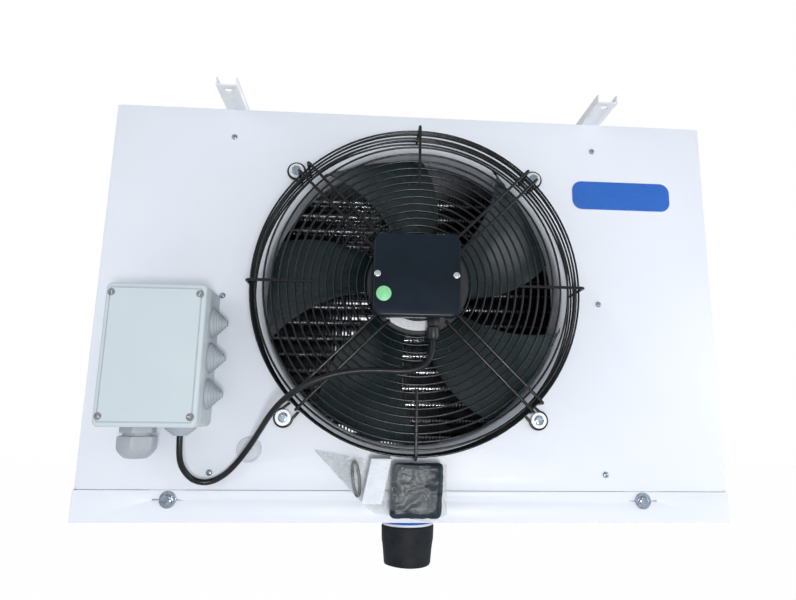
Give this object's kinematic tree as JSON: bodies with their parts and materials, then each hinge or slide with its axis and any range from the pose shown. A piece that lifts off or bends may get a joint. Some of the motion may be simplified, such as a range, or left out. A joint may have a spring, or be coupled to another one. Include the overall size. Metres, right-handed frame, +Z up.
{
  "type": "ceiling unit cooler",
  "caption": "Ceiling-hung unit cooler of a refrigeration split system, with an axial fan behind a wire guard, a drain tray and a wired junction box.",
  "frame": {"origin": "centre of the four ceiling bolt holes, on the upper face of the suspension rails' webs", "axes": "+X to the right of a person who looks at the fan side, +Y from the fan side to the coil side, +Z up to the ceiling"},
  "size_m": [0.729, 0.547, 0.5441],
  "materials": {
    "casing_sheet": "satin powder coat, warm light grey",
    "rail_steel": "galvanised",
    "zinc_bolt": "bright zinc",
    "painted_screw": "satin",
    "guard_wire": "black coating over welded wire, semi-gloss",
    "motor_casting": "black paint, semi-gloss",
    "rotor_paint": "black paint, semi-gloss",
    "shaft_steel": "ground",
    "bearing_steel": "ground",
    "fan_plastic": "dark green grey",
    "label_foil": "printed foil, blank",
    "terminal_plastic": "black",
    "gland_plastic": "black",
    "sticker_paper": "pale green, blank",
    "box_plastic": "light grey",
    "lid_plastic": "light grey",
    "lid_screw_plastic": "grey, slotted",
    "strip_plastic": "white",
    "entry_rubber": "grey",
    "grommet_rubber": "grey",
    "box_gland_plastic": "light grey",
    "plate_blue": "blue, bare",
    "fin_aluminium": "mill finish",
    "coil_plate_steel": "galvanised",
    "copper": "bare copper",
    "cable_rubber": "black",
    "gasket_blue": "blue",
    "ring_white": "white",
    "sleeve_rubber": "black, matt",
    "bag_film": "clear film",
    "bag_card": "white card",
    "controller_plastic": "dark",
    "lead_rubber": "black"
  },
  "bodies": {
    "casing": {"front_panel": "casing_sheet", "top_panel": "casing_sheet", "side_panel_left": "casing_sheet", "side_panel_right": "casing_sheet", "bend_cover": "casing_sheet", "pipe_cover": "casing_sheet", "rail_left": "casing_sheet", "rail_right": "casing_sheet", "rail_bolts": "zinc_bolt", "panel_screws": "painted_screw", "drain_tray": "casing_sheet", "tray_brackets": "rail_steel", "tray_washers": "zinc_bolt", "tray_bolts": "zinc_bolt", "drain_spout": "ring_white", "drain_gasket": "gasket_blue", "drain_ring": "ring_white", "drain_sleeve": "sleeve_rubber", "fan_guard": "guard_wire", "guard_washers": "zinc_bolt", "guard_bolts": "zinc_bolt", "motor_stator": "motor_casting", "rear_bearing": "bearing_steel", "front_bearing": "bearing_steel", "motor_label": "label_foil", "terminal_box": "terminal_plastic", "terminal_lid": "terminal_plastic", "terminal_screws": "zinc_bolt", "motor_gland": "gland_plastic", "inspection_sticker": "sticker_paper", "junction_box": "box_plastic", "junction_lid": "lid_plastic", "junction_lid_screws": "lid_screw_plastic", "terminal_strip": "strip_plastic", "cable_entries": "entry_rubber", "fan_cable_entry": "entry_rubber", "supply_gland": "box_gland_plastic", "supply_gland_nut": "box_gland_plastic", "panel_grommet": "grommet_rubber", "name_plate": "plate_blue", "fin_pack": "fin_aluminium", "coil_plate_left": "coil_plate_steel", "coil_plate_right": "coil_plate_steel", "return_bends_left": "copper", "return_bends_right": "copper", "suction_header": "copper", "liquid_header": "copper", "fan_cable": "cable_rubber", "accessory_bag": "bag_film", "bag_box": "bag_card", "bag_controller": "controller_plastic", "bag_lead": "lead_rubber"},
    "fan": {"rotor_can": "rotor_paint", "motor_shaft": "shaft_steel", "fan_blades": "fan_plastic"}
  },
  "joints": [
    {"name": "fan_spin", "type": "hinge", "parent": "casing", "child": "fan", "pos_m": [0, -0.195, -0.224], "axis": [0, 1, 0], "continuous": true}
  ]
}
